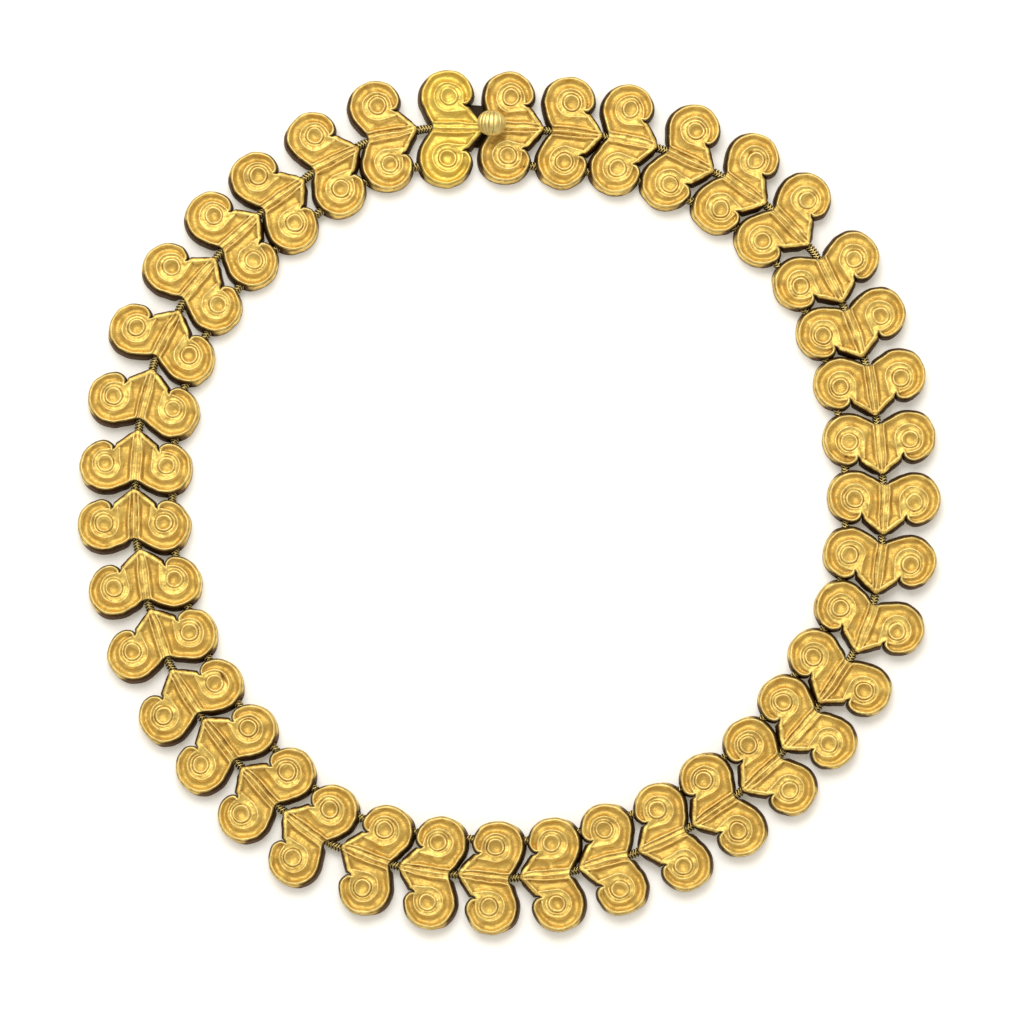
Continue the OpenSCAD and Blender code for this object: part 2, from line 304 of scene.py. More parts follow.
# The whole plan: the outer edge as one loop, counterclockwise, and the points inside it
def bothHalves(half, edgeCount):
    edge, rest = half[:edgeCount], half[edgeCount:]
    loop = np.concatenate([edge[::-1], edge[1:-1] * (1, -1)])
    onAxis = np.abs(rest[:, 1]) < 1e-6
    return loop, np.concatenate([rest, rest[~onAxis] * (1, -1)])


# The hammered relief: heights are given as drops below the rims, in mm

relief = {
    # The rim round the edge, which is wider along the arrow's shoulders
    "rimInset": 0.34, "shoulderInset": 0.58, "rimFlank": 1.05, "ridgePower": 2.2,
    "edgeDrop": 0.4, "edgeSlope": 0.7,
    "shoulderFlat": 0.5, "shoulderX": (2.6, 3.2), "shoulderSoft": 0.3,
    # The channel between the rim and the spiral, which is shallower towards the arrow
    "channelDeep": 0.8, "channelFoot": 0.4, "panelRise": 0.16, "panelX": (1.0, 4.5),
    "spiralDrop": 0.12, "spiralCrest": 0.4, "spiralFlank": 0.75,
    # The middle band between its two ridges, and the rib along it
    "bandDrop": 0.02, "bandDeep": 0.42, "bandFlank": 0.28, "bandSlope": 0.65, "bandFoot": 0.3,
    "bandPower": 1.9, "bandFaint": 0.4, "bandSoft": (-0.12, 0.02),
    "bandEnd": 0.7, "bandEndX": (-2.6, -2.0), "bandRim": 0.9,
    "ribDrop": 0.08, "ribFlank": 0.38, "ribPower": 1.4, "ribFaint": 0.1,
    "facetX": (4.8, 5.3), "facetDrop": 0.05,    # the band's lines end here in a small flat facet
    # The sunken cut beside the curled end
    "cutDeep": 0.35, "cutWide": 0.1, "cutRim": 0.14, "cutFade": 0.6,
    # The eye's rings, from the dish outwards: radius, drop, and drop on a link whose lines are faint
    "eyeRows": [
        (0.0, 0.64, 0.5), (0.4, 0.62, 0.49), (0.7, 0.52, 0.41), (0.95, 0.37, 0.28),
        (1.1, 0.22, 0.19), (1.22, 0.12, 0.14), (1.3, 0.08, 0.13), (1.4, 0.16, 0.18),
        (1.52, 0.36, 0.26), (1.6, 0.4, 0.28), (1.72, 0.33, 0.26), (1.8, 0.31, 0.25),
        (1.92, 0.39, 0.29), (2.05, 0.39, 0.3), (2.2, 0.28, 0.26), (2.45, 0.12, 0.15),
    ],
    "eyeSoft": (-0.02, 0.04),
    "eyeRings": 1.8,          # out to here the rings are round; beyond, they stretch to meet the loop
    "platform": 0.3,          # level of the metal between the eye and the arrow's shoulder
    "platformX": (-0.2, 0.5), "platformY": (4.1, 4.5), "platformEdge": 0.2, "platformRing": (1.85, 2.0),
    "merge": 5,               # how sharply one ridge runs into another
}


# How high a ridge's side still stands at this distance, from 1 at its crest to 0
def flank(distance, width, power, crest=0.05):
    rounded = np.sqrt(distance ** 2 + crest ** 2) - crest
    return np.clip(1 - rounded / width, 0, 1) ** power


# Height of the top over each point of the plan. lineStrength lowers the lines that some links hardly show
def reliefHeights(points, lines, form, lineStrength):
    p = np.column_stack([points[:, 0], np.abs(points[:, 1])])
    x, y = p.T
    toEdge, _ = measure(p, lines["edge"])
    toShoulder, _ = measure(p, lines["shoulderEdge"])
    toSpiral, _ = measure(p, lines["spiral"])
    toBand, _ = measure(p, lines["band"])
    fromCut, alongCut = measure(p, lines["cut"])
    fromEye = np.linalg.norm(p - lines["eye"], axis=1)
    bandY = np.interp(x, lines["band"][:, 0], lines["band"][:, 1])
    inBand = smoothStep(*form["bandSoft"][::-1], y - bandY)
    toRimEdge = np.minimum(toEdge, fromCut + form["cutRim"])
    ofShoulder = smoothStep(*form["shoulderX"], x)
    ofShoulder *= smoothStep(form["shoulderSoft"], 0.0, toShoulder - toEdge)
    inset = form["rimInset"] + (form["shoulderInset"] - form["rimInset"]) * ofShoulder
    inset *= 1 - form["bandEnd"] * inBand * smoothStep(*form["bandEndX"][::-1], x)
    toOuter = np.maximum(np.minimum(toRimEdge - inset - form["channelFoot"], toBand - form["bandFoot"]), 0)
    slope = toSpiral / (toSpiral + toOuter + 1e-6)
    deep = form["channelDeep"] - form["panelRise"] * smoothStep(*form["panelX"], x)
    nearSpiral = form["spiralDrop"] + form["spiralCrest"]
    drop = nearSpiral + (deep - nearSpiral) * slope
    footY = np.interp(x, *lines["foot"].T)
    onPlatform = smoothStep(0.0, form["platformEdge"], y - footY)
    onPlatform *= smoothStep(*form["platformY"][::-1], y) * smoothStep(*form["platformX"], x)
    drop += (form["platform"] - drop) * onPlatform
    bandDeep = form["bandDeep"] * (form["bandFaint"] + (1 - form["bandFaint"]) * lineStrength)
    drop += (bandDeep - drop) * inBand
    floor = linkTop - drop
    besideBand = form["bandSlope"] + (form["bandFlank"] - form["bandSlope"]) * inBand
    rim = flank(np.maximum(toRimEdge - inset, 0), form["rimFlank"], form["ridgePower"])
    rib = flank(y, form["ribFlank"], form["ribPower"]) * inBand
    crests = [
        (0.0, rim * (1 - form["bandRim"] * inBand)),
        (form["spiralDrop"], flank(toSpiral, form["spiralFlank"], form["ridgePower"])),
        (form["bandDrop"], flank(toBand, besideBand, form["bandPower"])),
        (form["ribDrop"] + form["ribFaint"] * (1 - lineStrength), rib),
    ]
    stands = [np.maximum(linkTop - crestDrop - floor, 0) * shape for crestDrop, shape in crests]
    height = floor + sum(stand ** form["merge"] for stand in stands) ** (1 / form["merge"])
    toLoop = lines["loopRadius"] - np.linalg.norm(p - lines["loop"], axis=1)
    beyond = np.maximum(fromEye - form["eyeRings"], 0)
    ringRadius, strongDrop, faintDrop = np.array(form["eyeRows"]).T
    stretched = beyond / (beyond + np.maximum(toLoop, 0) + 1e-6) * (ringRadius[-1] - form["eyeRings"])
    ringAt = np.minimum(fromEye, form["eyeRings"]) + stretched
    eyeDrop = lineStrength * strongDrop + (1 - lineStrength) * faintDrop
    inEye = smoothStep(*form["eyeSoft"], toLoop)
    inEye *= 1 - onPlatform * smoothStep(*form["platformRing"], ringAt)
    height += (linkTop - np.interp(ringAt, ringRadius, eyeDrop) - height) * inEye
    height += (linkTop - form["facetDrop"] - height) * smoothStep(*form["facetX"], x) * inBand
    outside = np.clip(1 - toEdge / inset, 0, 1)
    edgeDrop = form["edgeDrop"] * (1 - form["shoulderFlat"] * ofShoulder)
    rounded = 1 - np.sqrt(1 - outside ** 2)
    height -= edgeDrop * (form["edgeSlope"] * outside + (1 - form["edgeSlope"]) * rounded)
    cut = np.exp(-(fromCut / form["cutWide"]) ** 2) * smoothStep(0.0, form["cutFade"], alongCut)
    height -= form["cutDeep"] * cut
    return np.minimum(height, linkTop)


# Meshes

def inScene(name, data):
    thing = bpy.data.objects.new(name, data)
    bpy.context.scene.collection.objects.link(thing)
    return thing


# A mesh object from points in mm, with its own named values at the points
def meshObject(name, points, faces, material, values, sharp=None):
    mesh = bpy.data.meshes.new(name)
    mesh.from_pydata((np.asarray(points) * mm).tolist(), [], [list(map(int, f)) for f in faces])
    mesh.update()
    mesh.materials.append(material)
    for label, value in values.items():
        layer = mesh.attributes.new(label, "FLOAT", "POINT")
        layer.data.foreach_set("value", np.asarray(value, np.float32))
    mesh.polygons.foreach_set("use_smooth", np.ones(len(mesh.polygons), bool))
    if sharp:
        mesh.set_sharp_from_angle(angle=math.radians(sharp))
    return inScene(name, mesh)


footHigh = 0.02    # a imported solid's flat foot is its faces below this, in mm


# Where a link lies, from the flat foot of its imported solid: its middle and its two directions, in mm
def linkPlace(node):
    mesh = node.data
    mesh.calc_loop_triangles()
    spots = np.array([v.co for v in mesh.vertices]) / mm
    corners = spots[np.array([t.vertices for t in mesh.loop_triangles])]
    foot = corners[(corners[:, :, 2] < footHigh).all(1)][:, :, :2]
    side, other = foot[:, 1] - foot[:, 0], foot[:, 2] - foot[:, 0]
    area = np.abs(side[:, 0] * other[:, 1] - side[:, 1] * other[:, 0]) / 2
    middle = (area[:, None] * foot.mean(1)).sum(0) / area.sum()
    foot = foot - middle
    moments = sum(np.einsum("n,ni,nj->ij", area, foot[:, k], foot[:, k]) for k in range(3))
    moments += np.einsum("n,ni,nj->ij", area, foot.sum(1), foot.sum(1))
    outward = np.linalg.eigh(moments)[1][:, 1]
    outward = outward if outward @ middle > 0 else -outward
    return middle, np.array([outward[1], -outward[0]]), outward


# How far forward of its own origin a loop's middle lies
def loopMiddle(loop):
    x, y = loop.T
    cross = x * np.roll(y, -1) - np.roll(x, -1) * y
    return ((x + np.roll(x, -1)) * cross).sum() / 3 / cross.sum()


# Points in a link's own frame, laid where the link lies
def toWorld(points, place):
    offset = points[:, :1] * place["ahead"] + points[:, 1:2] * place["outward"]
    flat = place["middle"] + place["size"] * offset
    return np.column_stack([flat, points[:, 2:]])


# Shader nodes

def newGroup(name, inputs, outputs):
    group = bpy.data.node_groups.new(name, "ShaderNodeTree")
    for label, kind in inputs:
        group.interface.new_socket(label, in_out="INPUT", socket_type="NodeSocket" + kind)
    for label, kind in outputs:
        group.interface.new_socket(label, in_out="OUTPUT", socket_type="NodeSocket" + kind)
    return group, group.nodes.new("NodeGroupInput"), group.nodes.new("NodeGroupOutput")


# A node with its settings, and its inputs linked or set: feeds is [(input, socket or value)]
def addNode(tree, kind, feeds=(), **settings):
    node = tree.nodes.new(kind)
    for key, value in settings.items():
        setattr(node, key, value)
    for socket, source in feeds:
        if isinstance(source, bpy.types.NodeSocket):
            tree.links.new(source, node.inputs[socket])
        else:
            node.inputs[socket].default_value = source
    return node


def mathNode(tree, operation, a, b=0.0):
    return addNode(tree, "ShaderNodeMath", [(0, a), (1, b)], operation=operation).outputs[0]


def mixColours(tree, factor, a, b):
    return addNode(tree, "ShaderNodeMix", [(0, factor), (6, a), (7, b)], data_type="RGBA").outputs[2]


# A value that rises softly from toLow to toHigh while the input goes from low to high
def rising(tree, value, low, high, toLow=0.0, toHigh=1.0):
    feeds = [(0, value), (1, low), (2, high), (3, toLow), (4, toHigh)]
    return addNode(tree, "ShaderNodeMapRange", feeds, interpolation_type="SMOOTHSTEP").outputs[0]


def noiseNode(tree, vector, scale, detail, rough):
    feeds = [("Vector", vector), ("Scale", scale), ("Detail", detail), ("Roughness", rough)]
    return addNode(tree, "ShaderNodeTexNoise", feeds).outputs[0]


# Adds a noise that swings by this much either way
def shaken(tree, value, noise, swing):
    centred = mathNode(tree, "SUBTRACT", noise, 0.5)
    return mathNode(tree, "ADD", value, mathNode(tree, "MULTIPLY", centred, 2 * swing))


# Noises are (scale, detail, roughness), and masks are (from, to) of what goes in and then of what comes out
tarnishAndPaintedLightForm = {
    "cloud": (230.0, 4.0, 0.6), "patch": (820.0, 3.0, 0.6), "grain": (4500.0, 2.0, 0.5),
    "hollowSwing": 0.4, "creaseSwing": 0.12, "wallSwing": 0.25,
    "stained": (0.4, 0.66, 0.0, 0.75), "spotted": (0.46, 0.62, 0.0, 0.75), "hollowShade": (0.48, 0.82, 0.0, 0.75),
    "rubbedAndHighlit": (0.46, 0.2), "glinting": (0.5, 0.75, 0.0, 0.25),
    "creaseDirtAndShade": (0.56, 0.86), "uneven": (0.3, 0.65, 0.45, 1.0), "onWall": (0.12, 0.6),
}
marksForm = {
    "facets": (1400.0, 2.0, 0.4), "dimples": (3200.0, 1.0, 0.5), "fine": (7000.0, 2.0, 0.5),
    "dimpleHigh": 0.34, "fineHigh": 0.11,
    "drawn": (1.0, 2.0, 0.5), "drawnTurn": (0.2, 0.0, 0.6), "drawnScale": (900.0, 9000.0, 900.0),
    "scratches": (0.6, 0.75, 0.0, 0.2), "cells": 800.0, "pits": (0.0, 0.16, 0.4, 0.0),
}
# How much smoother or rougher than its look's own value the metal is, and the shine of what isn't metal
wear = {"from": (0.3, 0.7), "below": 0.04, "above": 0.06, "specular": 0.15}


# The gold's colour: stains at random, bright on the crests as wear and painted highlight, warm and darker
# in the hollows as painted shade, brown in the creases as dirt and painted shade, dark on the walls as dirt
# and painted shade
def tarnishAndPaintedLightGroup(form):
    colours = ("Clean", "Bright", "Warm", "Groove", "Dirt_and_shade")
    values = ("Hollow", "Crease", "Wall", "Amount")
    group, given, out = newGroup(
        "tarnishAndPaintedLight",
        [("Place", "Vector")]
        + [(label, "Float") for label in values]
        + [(label, "Color") for label in colours],
        [("Color", "Color"), ("Dull", "Float"), ("Matt", "Float")],
    )
    place, amount = given.outputs["Place"], given.outputs["Amount"]
    cloud, patch, grain = (noiseNode(group, place, *form[name]) for name in ("cloud", "patch", "grain"))
    hollow = shaken(group, given.outputs["Hollow"], patch, form["hollowSwing"])
    crease = shaken(group, given.outputs["Crease"], grain, form["creaseSwing"])
    wall = shaken(group, given.outputs["Wall"], patch, form["wallSwing"])
    stained = rising(group, cloud, *form["stained"])
    spotted = rising(group, patch, *form["spotted"])
    # Painted shade: the hollows of the top turn towards the warm, darker colour, as do random stains
    hollowShade = rising(group, hollow, *form["hollowShade"])
    warm = mathNode(group, "MAXIMUM", mathNode(group, "MAXIMUM", stained, spotted), hollowShade)
    warm = mathNode(group, "MULTIPLY", warm, amount)
    # Crests turn to the bright colour as wear and painted highlight, and random flecks of it are painted
    # glints
    glinting = rising(group, grain, *form["glinting"])
    rubbedAndHighlit = mathNode(group, "MAXIMUM", rising(group, crease, *form["rubbedAndHighlit"]), glinting)
    uneven = mathNode(group, "MULTIPLY", amount, rising(group, patch, *form["uneven"]))
    # Creases turn brown, unevenly: dirt and painted shade
    creaseDirtAndShade = mathNode(group, "MULTIPLY", rising(group, crease, *form["creaseDirtAndShade"]), uneven)
    onWall = rising(group, wall, *form["onWall"])
    colour = mixColours(group, warm, given.outputs["Clean"], given.outputs["Warm"])
    colour = mixColours(group, rubbedAndHighlit, colour, given.outputs["Bright"])
    colour = mixColours(group, creaseDirtAndShade, colour, given.outputs["Groove"])
    # Walls turn to the dark colour: dirt and painted shade
    colour = mixColours(group, onWall, colour, given.outputs["Dirt_and_shade"])
    group.links.new(colour, out.inputs["Color"])
    group.links.new(mathNode(group, "MAXIMUM", creaseDirtAndShade, onWall), out.inputs["Dull"])
    group.links.new(onWall, out.inputs["Matt"])
    return group


# Soft hammer facets, fine scratches and small pits, as a height
def toolMarksGroup(form):
    group, given, out = newGroup(
        "toolMarks",
        [("Place", "Vector"), ("Facets", "Float"), ("Scratches", "Float"), ("Pits", "Float")],
        [("Height", "Float"), ("Worn", "Float")],
    )
    place = given.outputs["Place"]
    facets, dimples, fine = (noiseNode(group, place, *form[name]) for name in ("facets", "dimples", "fine"))
    feeds = [("Vector", place), ("Rotation", form["drawnTurn"]), ("Scale", form["drawnScale"])]
    stretched = addNode(group, "ShaderNodeMapping", feeds).outputs[0]
    scratches = rising(group, noiseNode(group, stretched, *form["drawn"]), *form["scratches"])
    feeds = [("Vector", place), ("Scale", form["cells"])]
    pits = rising(group, addNode(group, "ShaderNodeTexVoronoi", feeds).outputs[0], *form["pits"])
    height = mathNode(group, "MULTIPLY", facets, given.outputs["Facets"])
    height = mathNode(group, "ADD", height, mathNode(group, "MULTIPLY", dimples, form["dimpleHigh"]))
    height = mathNode(group, "ADD", height, mathNode(group, "MULTIPLY", fine, form["fineHigh"]))
    scratched = mathNode(group, "MULTIPLY", scratches, given.outputs["Scratches"])
    height = mathNode(group, "SUBTRACT", height, scratched)
    height = mathNode(group, "SUBTRACT", height, mathNode(group, "MULTIPLY", pits, given.outputs["Pits"]))
    group.links.new(height, out.inputs["Height"])
    group.links.new(fine, out.inputs["Worn"])
    return group


# bare is how much of the metal still shines through the darkest walls, where dirt and painted shade are
# strongest
goldLooks = {
    "wornGold": {
        "slot": "gold",
        "clean": (0.9, 0.67, 0.18), "bright": (0.88, 0.7, 0.27), "warm": (0.56, 0.34, 0.072),
        "groove": (0.29, 0.145, 0.032), "dirt_and_shade": (0.1, 0.042, 0.007),
        "amount": 1.0, "smooth": 0.55, "dull": 0.62, "bare": 0.78,
        "facets": 0.95, "scratches": 1.0, "pits": 0.7, "bump": 0.0001,
    },
    "lemonGold": {
        "slot": "lemon_gold",
        "clean": (0.83, 0.625, 0.13), "bright": (0.87, 0.69, 0.19), "warm": (0.63, 0.42, 0.08),
        "groove": (0.3, 0.16, 0.035), "dirt_and_shade": (0.12, 0.06, 0.02),
        "amount": 0.85, "smooth": 0.52, "dull": 0.58, "bare": 0.65,
        "facets": 1.0, "scratches": 1.0, "pits": 0.5, "bump": 0.00008,
    },
    # The tongue's gold is the lemon gold painted near black: painted shade where it lies in the gap under
    # the clasp
    "tongueGold": {
        "slot": "lemon_gold",
        "clean": (0.04, 0.024, 0.008), "bright": (0.07, 0.042, 0.014),
        "warm": (0.03, 0.017, 0.006), "groove": (0.04, 0.02, 0.007), "dirt_and_shade": (0.03, 0.018, 0.008),
        "amount": 1.0, "smooth": 0.45, "dull": 0.6, "bare": 0.5,
        "facets": 0.6, "scratches": 0.6, "pits": 0.4, "bump": 0.00003,
    },
    "beadGold": {
        "slot": "gold",
        "clean": (0.8, 0.62, 0.22), "bright": (0.87, 0.7, 0.3), "warm": (0.6, 0.42, 0.12),
        "groove": (0.2, 0.11, 0.03), "dirt_and_shade": (0.12, 0.07, 0.026),
        "amount": 0.9, "smooth": 0.44, "dull": 0.5, "bare": 0.6,
        "facets": 0.4, "scratches": 0.5, "pits": 0.2, "bump": 0.00002,
    },
    # The chain's groove colour is near black: painted shadow on its core and painted shade on its lower
    # strands, with some dirt
    "chainGold": {
        "slot": "chain_gold",
        "clean": (0.42, 0.31, 0.1), "bright": (0.58, 0.44, 0.16), "warm": (0.22, 0.14, 0.04),
        "groove": (0.03, 0.018, 0.007), "dirt_and_shade": (0.02, 0.012, 0.006),
        "amount": 1.0, "smooth": 0.36, "dull": 0.6, "bare": 0.5,
        "facets": 0.2, "scratches": 0.2, "pits": 0.1, "bump": 0.00001,
    },
}


def goldMaterial(name, look, tarnishAndPaintedLight, toolMarks):
    material = bpy.data.materials.new(name)
    material.use_nodes = True
    tree = material.node_tree
    shader = tree.nodes["Principled BSDF"]
    place = addNode(tree, "ShaderNodeTexCoord").outputs["Object"]
    skin = addNode(tree, "ShaderNodeGroup", [("Place", place)], node_tree=tarnishAndPaintedLight)
    marks = addNode(tree, "ShaderNodeGroup", [("Place", place)], node_tree=toolMarks)
    for label in ("Hollow", "Crease", "Wall"):
        value = addNode(tree, "ShaderNodeAttribute", attribute_name=label.lower()).outputs["Fac"]
        tree.links.new(value, skin.inputs[label])
    skin.inputs["Amount"].default_value = look["amount"]
    for label in ("Clean", "Bright", "Warm", "Groove", "Dirt_and_shade"):
        skin.inputs[label].default_value = (*look[label.lower()], 1)
    for label in ("Facets", "Scratches", "Pits"):
        marks.inputs[label].default_value = look[label.lower()]
    swing = (look["smooth"] - wear["below"], look["smooth"] + wear["above"])
    rough = rising(tree, marks.outputs["Worn"], *wear["from"], *swing)
    dulled = mathNode(tree, "MULTIPLY", skin.outputs["Dull"], look["dull"] - look["smooth"])
    feeds = [("Strength", 1.0), ("Distance", look["bump"]), ("Height", marks.outputs["Height"])]
    tree.links.new(skin.outputs["Color"], shader.inputs["Base Color"])
    tree.links.new(mathNode(tree, "ADD", rough, dulled), shader.inputs["Roughness"])
    tree.links.new(addNode(tree, "ShaderNodeBump", feeds).outputs[0], shader.inputs["Normal"])
    feeds = [("Value", skin.outputs["Matt"]), ("To Min", 1.0), ("To Max", look["bare"])]
    tree.links.new(addNode(tree, "ShaderNodeMapRange", feeds).outputs[0], shader.inputs["Metallic"])
    shader.inputs["Specular IOR Level"].default_value = wear["specular"]
    return material


tarnishAndPaintedLight = tarnishAndPaintedLightGroup(tarnishAndPaintedLightForm)
toolMarks = toolMarksGroup(marksForm)
golds = {name: goldMaterial(name, look, tarnishAndPaintedLight, toolMarks) for name, look in goldLooks.items()}
print("materials made")


# The links' shared plan and relief

# What makes no two links the same, in mm. Waves are (height, size)
handWork = {
    "warp": (0.06, 7.0), "wobble": (0.032, 2.4), "ripple": (0.026, 1.9), "wave": (0.1, 3.2),
    "eyeShift": 0.1, "eyeReach": 2.2, "eyeRise": 0.02,
    "hookDrop": 0.15, "hookReach": 0.65, "hookFoot": (0.5, 0.25),
    "dents": 56, "dentDeep": 0.07, "dentLeast": 0.3, "dentSize": (0.35, 0.95),
    "lineStrength": (-0.1, 1.1), "lineWave": (0.2, 5.0), "faint": 0.3, "halfSoft": 0.2,
    "calmRim": 0.35,          # ripples and dents fade out this near the edge
    "holeRadius": 0.98, "holeDeep": 0.9, "holeEdge": 0.18, "holeMiddle": 0.3,
    "holeReach": 14, "holeLeast": 20,    # a hole needs this many of the route's points within this reach
    "topSpare": 0.04, "wallWave": (0.015, 3.0),
    # For the colours: how strongly creases and hollows count beside a plain place, which is 0.5
    "plain": 0.5, "creaseSize": 0.11, "creaseGain": 8.0, "markGain": 0.6,
    "hollowRounds": 30, "hollowGain": 2.2, "hollowWave": (0.06, 5.0),
}
# The upright wall under the edge: height above the surface and how far it stands out, in mm
wall = {
    "z": (2.9, 2.65, 2.3, 1.8, 1.2, 0.7, 0.3, 0.08, 0.0),
    "out": (0.04, 0.07, 0.1, 0.13, 0.15, 0.17, 0.19, 0.18, 0.08),
    "backFlare": 1.9,         # the back wall leans out this many times more
    "backTurn": (0.3, 0.9),   # where it faces the back this squarely
    "shoulderFlare": 1.1,     # and the walls beside the arrow tip this many times
    "shoulderY": (3.6, 4.2),  # out to here
    "tipTurn": (0.3, 0.8),    # where they face it this squarely
    "cuspFlare": 0.9,         # the lean grows from nothing at the cusps to its whole within this reach
    "chainLean": 0.15,        # and this part of it is left beside the middle chain
    "chainY": (0.4, 1.4),
    "evenBelow": 0.3,         # the lowest rows are level
    "edgeClear": 0.04,        # and all stay this far under the edge
}
# How far the wall's colour goes to the dark colour of dirt and painted shade, from 0 to 1. Walls that face
# a neighbour stay dark as painted shade, and those at the ring's inner and outer side are lighter
grimeAndShade = {
    "sides": 0.75, "sideTurn": (0.45, 0.85), "sideY": (5.0, 7.5),
    "rim": 0.38, "rimReach": (0.2, 0.36), "edge": 0.3, "edgeReach": 0.12, "rimLeast": 0.6,
    "below": 0.55, "belowTop": 3.0, "belowSlope": 0.3,
    "foot": 0.5, "footZ": (0.2, 2.4),
}

lines = scrollLines(linkPlan)
halfPoints, edgeCount = planPoints(lines, linkPlan, planRows)
edgeLoop, innerPoints = bothHalves(halfPoints, edgeCount)
plan = np.concatenate([edgeLoop, innerPoints])
planFaces = triangulated(plan, list(range(len(edgeLoop))))
strongHeights = reliefHeights(plan, lines, relief, 1.0)
faintHeights = reliefHeights(plan, lines, relief, handWork["faint"])
toRim, _ = measure(plan, np.concatenate([edgeLoop, edgeLoop[:1]]))
nearby, nearbyWeight = planeFit(plan, handWork["creaseSize"])
print("link plan: %d points, %d triangles, edge of %d" % (len(plan), len(planFaces), len(edgeLoop)))

chord = np.roll(edgeLoop, -1, 0) - np.roll(edgeLoop, 1, 0)
edgeOut = np.stack([chord[:, 1], -chord[:, 0]], 1) / np.linalg.norm(chord, axis=1)[:, None]
edgeY = abs(edgeLoop[:, 1])
cusps = np.array([linkPlan["cusp"], np.array(linkPlan["cusp"]) * (1, -1)])
lean = smoothStep(0.0, wall["cuspFlare"], np.linalg.norm(edgeLoop[:, None] - cusps, axis=2).min(1))
packedMiddle = loopMiddle(edgeLoop + edgeOut * (lean * max(wall["out"]))[:, None])
byTip = smoothStep(*wall["tipTurn"], edgeOut[:, 0]) * smoothStep(*wall["shoulderY"][::-1], edgeY)
atBack = smoothStep(*wall["backTurn"], -edgeOut[:, 0])
lean *= 1 + wall["backFlare"] * atBack + wall["shoulderFlare"] * byTip
lean *= wall["chainLean"] + (1 - wall["chainLean"]) * smoothStep(*wall["chainY"], edgeY)
# Painted shade: the walls that face a neighbour keep the whole dark colour, those at the ring's sides less
facingSides = smoothStep(*grimeAndShade["sideTurn"], abs(edgeOut[:, 1])) * smoothStep(*grimeAndShade["sideY"], edgeY)
edgeGrimeAndShade = 1 - grimeAndShade["sides"] * facingSides
rimGrimeAndShade = edgeGrimeAndShade[((plan[:, None] - edgeLoop) ** 2).sum(2).argmin(1)]
footLoop = edgeLoop + edgeOut * (lean * wall["out"][-1])[:, None]
footFaces = triangulated(footLoop, list(range(len(footLoop))))[:, ::-1]

places = []
for name in linkNames:
    middle, ahead, outward = linkPlace(nodes[name])
    size = linkPlan["firstSize"] if name == "tongue_link" else 1.0
    origin = middle - packedMiddle * size * ahead
    places.append({"middle": origin, "ahead": ahead, "outward": outward, "size": size})
print("links placed")


# The chains' routes, in mm: where each leaves a link's front and enters the next one's back

chains = {
    "centre_chain": {"y": 0.0, "start": 3.0, "front": 5.95, "back": 2.85, "end": -1.5},
    "inner_chain": {"y": -6.4, "start": 0.0, "front": 3.8, "back": 4.6, "end": -2.0},
}
chainZ = 1.5
# Spacing of a route's points, and how many times its corners are evened out
routeStep, routeRounds = 0.1, 40


# From inside the box link, through the middle of each gap, into the tongue link
def chainRoute(setting):
    def at(i, x):
        place = places[i % len(places)]
        return place["middle"] + place["size"] * (x * place["ahead"] + setting["y"] * place["outward"])

    corners = [at(1, setting["start"])]
    corners += [(at(i, setting["front"]) + at(i + 1, -setting["back"])) / 2 for i in range(1, len(places))]
    corners += [at(0, setting["end"])]
    line = divided(np.array(corners), routeStep)
    for _ in range(routeRounds):
        line[1:-1] = (line[:-2] + 2 * line[1:-1] + line[2:]) / 4
    return line


routes = {name: chainRoute(setting) for name, setting in chains.items()}


# The links

# The stem of the thumb press stands in the box link's notch, which is cut wider for it
stem = {"x": -3.1, "radius": 0.5, "clear": 0.76, "reach": 1.9}
# Single pits and cracks: the link's number, the mark's middle, half length, half width, turn and depth
photoMarks = {
    "columns": ("link", "x", "y", "long", "wide", "turn", "deep"),
    "rows": [
        (6, -1.54, 5.88, 0.3, 0.16, 60, 0.4),
        (2, 2.6, -6.9, 0.4, 0.13, 17, 0.4),
        (2, -2.9, -3.0, 0.12, 0.12, 0, 0.25),
        (22, 1.36, -5.35, 0.7, 0.13, 80, 0.25),
        (28, 0.1, -6.95, 0.8, 0.16, 0, 0.5),
        (11, 2.6, -5.9, 0.4, 0.25, 60, 0.2),
    ],
}


def stemNotch(points):
    away = points - (stem["x"], 0)
    distance = np.linalg.norm(away, axis=1)
    opened = stem["clear"] + distance * (1 - stem["clear"] / stem["reach"])
    scale = np.where(distance < stem["reach"], opened / np.maximum(distance, 1e-6), 1)
    return (stem["x"], 0) + away * scale[:, None]


# How much of a mark lies over each point of the plan, from 0 to 1
def markShape(row):
    mark = dict(zip(photoMarks["columns"], row))
    turn = math.radians(mark["turn"])
    away = plan - (mark["x"], mark["y"])
    along = away @ (math.cos(turn), math.sin(turn)) / mark["long"]
    across = away @ (-math.sin(turn), math.cos(turn)) / mark["wide"]
    return mark["deep"], np.exp(-along ** 2 - across ** 2)


